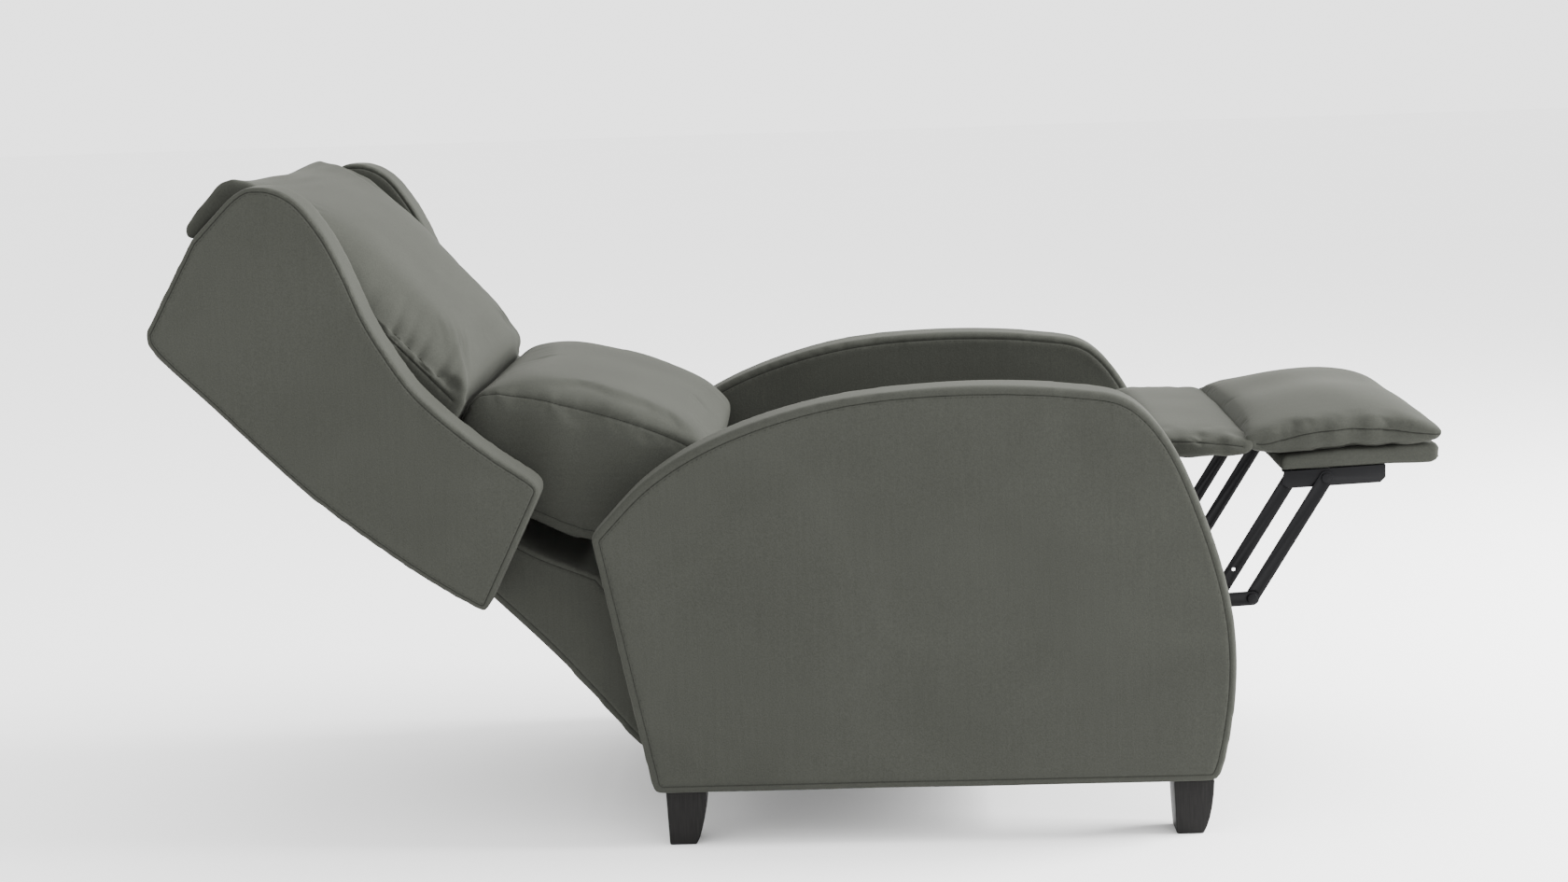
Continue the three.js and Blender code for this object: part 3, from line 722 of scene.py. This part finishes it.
pillow_outline = curve_through(from_mm(PILLOW_SIDE), 6 * MM, (0, 16, 25))
pillow = stuffed("upper_back_pillow", pillow_outline, -PILLOW_HALF, PILLOW_HALF, 5 * MM, 2)


def pillow_heights(points):
    """How far points stand off the back plane, and how far down it they are."""
    across_plane = points[:, [0, 2]] - BACK_PLANE
    return across_plane @ PLANE_OUT, across_plane @ PLANE_DOWN


def smooth_step(value, start, end):
    part = np.clip((value - start) / (end - start), 0, 1)
    return part * part * (3 - 2 * part)


points = points_of(pillow)
height, down = pillow_heights(points)
pressed = smooth_step(down, -0.02, 0.07) * (1 - 0.8 * smooth_step(down, 0.27, 0.33))
fall = np.clip(height - SEAM_HEIGHT, 0, None) * (1 - crown(points[:, 1], PILLOW_HALF + 1 * MM, 5)) * pressed
points[:, 0] -= PLANE_OUT[0] * fall
points[:, 2] -= PLANE_OUT[1] * fall
points[:, 2] += HEAD_SAG * ((points[:, 1] / PILLOW_HALF) ** 2) * smooth_step(-points[:, 0], 0.68, 0.75)
move_points(pillow, points)
ease(pillow, 6)
points = points_of(pillow)
height, down = pillow_heights(points)
at_seam = (np.abs(height - SEAM_HEIGHT) < 6 * MM) & (np.abs(points[:, 1]) > PILLOW_HALF - 12 * MM)
lying_on_board = height < 60 * MM
hooked_over_head = points[:, 0] < -0.72
puff(pillow, 3.0, 5 * MM, pinned=at_seam | lying_on_board | hooked_over_head)
points = points_of(pillow)
height, down = pillow_heights(points)
rise = np.clip(height - SEAM_HEIGHT, 0, 1)
edge = np.clip((PILLOW_HALF - np.abs(points[:, 1])) / GATHER_REACH, 0, 1)
from_seam = rise + edge * GATHER_REACH
near_seam = smooth_step(rise, 0, 8 * MM) * np.exp(-from_seam / GATHER_FADE)
wander = down + 0.35 * edge * GATHER_REACH + 3 * MM * waves(points, 90 * MM, 3)
gather = waves(np.c_[wander, wander * 0, wander * 0], GATHER_SPACING, 5, count=5)
narrow = np.clip(1 - 1.7 * np.abs(gather), 0, 1) ** 1.3
valley = -narrow * near_seam * smooth_step(down, 0.05, 0.18)
tug = waves(points, 60 * MM, 35, stretch=(1, 3, 1)) * np.exp(-edge * 1.5) * 1.0 * MM
sag = waves(points, 170 * MM, 31, stretch=(1, 1.6, 1)) * 1.5 * MM
fold = waves(points, 30 * MM, 37, stretch=(1, 8, 1)) * 1.1 * MM * smooth_step(-points[:, 0], 0.64, 0.72)
lift = GATHER_DEPTH * valley + (tug + sag) * (height > SEAM_HEIGHT) + fold * (height > 70 * MM)
move_points(pillow, points + points_of(pillow, "normal") * lift[:, None])
pillow_seams = []
for y in (-PILLOW_HALF, PILLOW_HALF):
    start = BACK_PLANE + PLANE_OUT * SEAM_HEIGHT
    finish = BACK_PLANE + PLANE_OUT * (SEAM_HEIGHT - 4 * MM) + PLANE_DOWN * 0.328
    steps = np.linspace(0, 1, 60)[:, None]
    flat_line = start * (1 - steps) + finish * steps
    pillow_seams.append(np.c_[flat_line[:, 0], np.full(60, y), flat_line[:, 1]])
hem = np.array([(*HEM_AT, y) for y in np.arange(-0.28, 0.281, 4 * MM)])[:, [0, 2, 1]]
sew(pillow, pillow_seams + [hem], pucker=0.9 * MM, pucker_length=13 * MM)
leaning_velvet = velvet("Grey velvet, nap brushed down the back", (0, math.radians(-45), 0))
finish_soft(pillow, leaning_velvet, "back", ["upper_back_cushion", "head_flap"])


# ---- lumbar cushion --------------------------------------------------------
# Boxed cushion for the small of the back: a crowned top panel, flat sides and
# a bottom panel, joined by plain seams. It is fixed to the back frame and
# tucks in behind the seat when the chair is upright.

LUMBAR_HALF = 270 * MM
LUMBAR_SIDE = [
    (-450, 596), (-430, 614), (-404, 621), (-368, 623), (-313, 614), (-257, 600), (-203, 578),
    (-168, 559), (-134, 531), (-121, 514), (-131, 475), (-168, 424), (-186, 408), (-236, 397),
    (-299, 400), (-369, 428), (-452, 470), (-494, 500),
]
TOP_SEAM = [(-484, 560), (-467, 585), (-443, 606), (-373, 601), (-322, 588), (-247, 566), (-184, 542),
            (-146, 520), (-134, 500)]
BOTTOM_SEAM = [(-440, 488), (-400, 462), (-348, 438), (-292, 416), (-236, 412), (-188, 424), (-150, 468)]
lumbar_outline = curve_through(from_mm(LUMBAR_SIDE), 6 * MM, (9, 17))
lumbar = stuffed("lumbar_upholstery", lumbar_outline, -LUMBAR_HALF, LUMBAR_HALF, 6 * MM, 2)
points = points_of(lumbar)
heart = np.array([-0.31, 0.5])
reach = points[:, [0, 2]] - heart
fall = 1 - crown(points[:, 1], LUMBAR_HALF + 1 * MM, 5)
upward = np.clip((reach[:, 1] + 0.02) / 0.08, 0, 1)
middle = smooth_step(points[:, 0], -0.46, -0.38) * (1 - 0.8 * smooth_step(points[:, 0], -0.19, -0.13))
points[:, 2] -= fall * upward * (4 * MM + 14 * MM * middle)
move_points(lumbar, points)
ease(lumbar, 4)
puff(lumbar, 3.0, 4 * MM)
points = points_of(lumbar)
on_side = np.clip((np.abs(points[:, 1]) - 0.24) / 0.03, 0, 1)
folds = waves(points, 60 * MM, 53, stretch=(1, 1, 2.6)) * 1.6 * MM * on_side
broad = waves(points, 210 * MM, 57) * 1.3 * MM
move_points(lumbar, points + points_of(lumbar, "normal") * (folds + broad)[:, None])
lumbar_seams = []
for y in (-LUMBAR_HALF, LUMBAR_HALF):
    for line in (TOP_SEAM, BOTTOM_SEAM):
        way = curve_through(from_mm(line), 4 * MM, closed=False)
        lumbar_seams.append(np.c_[way[:, 0], np.full(len(way), y), way[:, 1]])
sew(lumbar, lumbar_seams, depth=1.3 * MM, pucker=0.6 * MM)
finish_soft(lumbar, lying_velvet, "back", ["lumbar_cushion"])


# ---- closing cloth ---------------------------------------------------------
# A loose gusset of velvet that closes the gap between the seat and the lumbar
# cushion. It is stapled to the rear seat rail and sewn under the cushion.

GUSSET = [(52, 336), (20, 346), (-40, 356), (-110, 370), (-170, 388), (-214, 394)]
GUSSET_HALF = 256 * MM
gusset_run = curve_through(from_mm(GUSSET), 8 * MM, closed=False)
drape = bmesh.new()
edge = [drape.verts.new((x, -GUSSET_HALF, z)) for x, z in gusset_run]
last = [drape.edges.new(pair) for pair in zip(edge[:-1], edge[1:])]
widths = 48
for _ in range(widths):
    grown = bmesh.ops.extrude_edge_only(drape, edges=last)["geom"]
    moved = [v for v in grown if isinstance(v, bmesh.types.BMVert)]
    bmesh.ops.translate(drape, verts=moved, vec=(0, 2 * GUSSET_HALF / widths, 0))
    last = [e for e in grown if isinstance(e, bmesh.types.BMEdge)]
bmesh.ops.solidify(drape, geom=drape.faces[:], thickness=1.5 * MM)
bmesh.ops.recalc_face_normals(drape, faces=drape.faces)
gusset_mesh = bpy.data.meshes.new("closing_cloth")
drape.to_mesh(gusset_mesh)
drape.free()
gusset_mesh.shade_smooth()
gusset_mesh.materials.append(lying_velvet)
gusset = bpy.data.objects.new("closing_cloth", gusset_mesh)
scene.collection.objects.link(gusset)
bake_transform(gusset)


# ---- footrest board --------------------------------------------------------
# A plywood board padded with thin foam and wrapped in velvet, screwed to the
# brackets of the mechanism.

BOARD_HALF = 251 * MM
BOARD_SIDE = [
    (638, 470), (637, 478), (641, 490), (700, 495.5), (780, 499.5), (842, 503), (847, 501), (848, 484),
    (843, 477.5), (780, 475), (700, 472),
]
BOARD_CORNER = [(842, 482), (848, 490), (838, 500)]
CORNER_SEAM = 243 * MM
board_outline = curve_through(from_mm(BOARD_SIDE), 4 * MM, (0, 2, 5, 7))
board = stuffed("footrest_board_upholstery", board_outline, -BOARD_HALF, BOARD_HALF, 4 * MM, 2)
board_dips = waves(points_of(board), 90 * MM, 61) * 0.6 * MM
move_points(board, points_of(board) + points_of(board, "normal") * board_dips[:, None])
corner_run = curve_through(from_mm(BOARD_CORNER), 2 * MM, closed=False)
corner_seams = [np.array([(x, y, z) for x, z in corner_run]) for y in (-CORNER_SEAM, CORNER_SEAM)]
sew(board, corner_seams, depth=0.9 * MM)
finish_soft(board, lying_velvet, "footrest", ["footrest_board"])


# ---- footrest pad ----------------------------------------------------------
# A fibre-filled pad laid on the board: a crowned top panel sewn to a narrow
# side band, drawn down at its rear end where it meets the knee cushion.

PAD_HALF = 262 * MM
PAD_SIDE = [
    (585, 503), (630, 496.5), (675, 498.5), (740, 502.5), (838, 506.5), (851, 511), (853, 516),
    (843, 529), (812, 546), (760, 555), (706, 553), (654, 544), (612, 533), (590, 521),
]
PAD_TOP_SEAM = [(604, 508), (613, 507), (659, 518), (706, 524), (767, 524), (814, 518), (846, 515)]
pad_outline = curve_through(from_mm(PAD_SIDE), 5 * MM)
pad = stuffed("footrest_pad_upholstery", pad_outline, -PAD_HALF, PAD_HALF, 4.5 * MM, 2)
points = points_of(pad)
over = np.clip(points[:, 2] - 0.517, 0, None)
points[:, 2] -= over * (1 - crown(points[:, 1], PAD_HALF + 1 * MM, 2.6)) * 0.85
move_points(pad, points)
ease(pad, 3)
puff(pad, 3.0, 5 * MM)
points = points_of(pad)
near_edge = np.clip((np.abs(points[:, 1]) - 0.22) / 0.04, 0, 1)
band_folds = waves(points, 38 * MM, 71, stretch=(1, 1, 3)) * 2.1 * MM * near_edge
across_dips = waves(points, 150 * MM, 73) * 1.5 * MM
move_points(pad, points + points_of(pad, "normal") * (band_folds + across_dips)[:, None])
pad_seams = []
for y in (-PAD_HALF, PAD_HALF):
    way = curve_through(from_mm(PAD_TOP_SEAM), 4 * MM, closed=False)
    pad_seams.append(np.c_[way[:, 0], np.full(len(way), y), way[:, 1]])
sew(pad, pad_seams, depth=1.2 * MM, pucker=0.7 * MM)
finish_soft(pad, lying_velvet, "footrest", ["footrest_pad"])


# ---- knee cushion ----------------------------------------------------------
# A short padded flap in front of the seat that carries the backs of the knees
# and turns down over the seat's front edge when the footrest is folded.

KNEE_SIDE = [
    (458, 500), (496, 495), (545, 494), (587, 494), (600, 503), (598, 516), (568, 526), (520, 529),
    (474, 529), (454, 516),
]
KNEE_SEAM = [(464, 516), (493, 515), (551, 511), (586, 506)]
knee_outline = curve_through(from_mm(KNEE_SIDE), 4 * MM)
knee = stuffed("knee_cushion_upholstery", knee_outline, -PAD_HALF, PAD_HALF, 4 * MM, 2)
points = points_of(knee)
over = np.clip(points[:, 2] - 0.511, 0, None)
points[:, 2] -= over * (1 - crown(points[:, 1], PAD_HALF + 1 * MM, 3)) * 0.8
move_points(knee, points)
ease(knee, 2)
puff(knee, 2.0, 3 * MM)
points = points_of(knee)
near_edge = np.clip((np.abs(points[:, 1]) - 0.2) / 0.05, 0, 1)
pinch = waves(points, 30 * MM, 83, stretch=(1, 1.6, 2)) * 1.7 * MM * near_edge
knee_dips = waves(points, 120 * MM, 87) * 1.0 * MM
move_points(knee, points + points_of(knee, "normal") * (pinch + knee_dips)[:, None])
knee_seams = []
for y in (-PAD_HALF, PAD_HALF):
    way = curve_through(from_mm(KNEE_SEAM), 4 * MM, closed=False)
    knee_seams.append(np.c_[way[:, 0], np.full(len(way), y), way[:, 1]])
sew(knee, knee_seams, depth=1.1 * MM, pucker=0.6 * MM)
finish_soft(knee, lying_velvet, "knee_flap", ["knee_cushion"])


# ---- studio ----------------------------------------------------------------
# A plain pale floor, a key softbox in front of the chair, a weaker one
# overhead, and an even white surround.

def floor_paint():
    material, tree, shader = new_finish("Matt white studio floor", {"Roughness": 0.9})
    place = add(tree, "ShaderNodeTexCoord").outputs["Object"]
    cloud = add(tree, "ShaderNodeTexNoise", {"Vector": place, "Scale": 0.5, "Detail": 2.0})
    tone = add(tree, "ShaderNodeMix", {"Factor": cloud.outputs[0], "A": linear("#f7f7f7"),
                                       "B": linear("#fafafa")}, data_type="RGBA")
    tree.links.new(tone.outputs["Result"], shader.inputs["Base Color"])
    return material


ground = bmesh.new()
bmesh.ops.create_grid(ground, x_segments=1, y_segments=1, size=30.0)
floor_mesh = bpy.data.meshes.new("studio_floor")
ground.to_mesh(floor_mesh)
ground.free()
floor_mesh.materials.append(floor_paint())
floor = bpy.data.objects.new("studio_floor", floor_mesh)
scene.collection.objects.link(floor)


def soft_light(name, place, aim, size, power):
    data = bpy.data.lights.new(name, "AREA")
    data.shape = "SQUARE"
    data.size = size
    data.energy = power
    lamp = bpy.data.objects.new(name, data)
    scene.collection.objects.link(lamp)
    way = Vector(aim) - Vector(place)
    lamp.matrix_world = Matrix.Translation(place) @ way.to_track_quat("-Z", "Y").to_matrix().to_4x4()


KEY_LIGHT, TOP_LIGHT, SURROUND = 860, 40, 2.6
soft_light("key softbox", (4.1, 0.2, 1.9), (0, 0, 0.5), 2.4, KEY_LIGHT)
soft_light("overhead softbox", (0, 0.6, 3.8), (0, 0, 0.4), 3.0, TOP_LIGHT)

surround = bpy.data.worlds.new("white studio")
surround.use_nodes = True
sky = surround.node_tree.nodes["Background"]
sky.inputs["Color"].default_value = (1, 1, 1, 1)
sky.inputs["Strength"].default_value = SURROUND
scene.world = surround

view = bpy.data.cameras.new("view")
view.lens = 60.43
view.sensor_width = 36.0
view.clip_end = 100
eye = bpy.data.objects.new("view", view)
scene.collection.objects.link(eye)
VIEWPOINT = (0.093, -3.755, 1.0506)
YAW, PITCH, ROLL = math.radians(1.98024), math.radians(8.46198), math.radians(-1.8451)
turn = Matrix.Rotation(YAW, 4, "Z") @ Matrix.Rotation(math.pi / 2 - PITCH, 4, "X")
turn = turn @ Matrix.Rotation(ROLL, 4, "Z")
eye.matrix_world = Matrix.Translation(VIEWPOINT) @ turn
scene.camera = eye
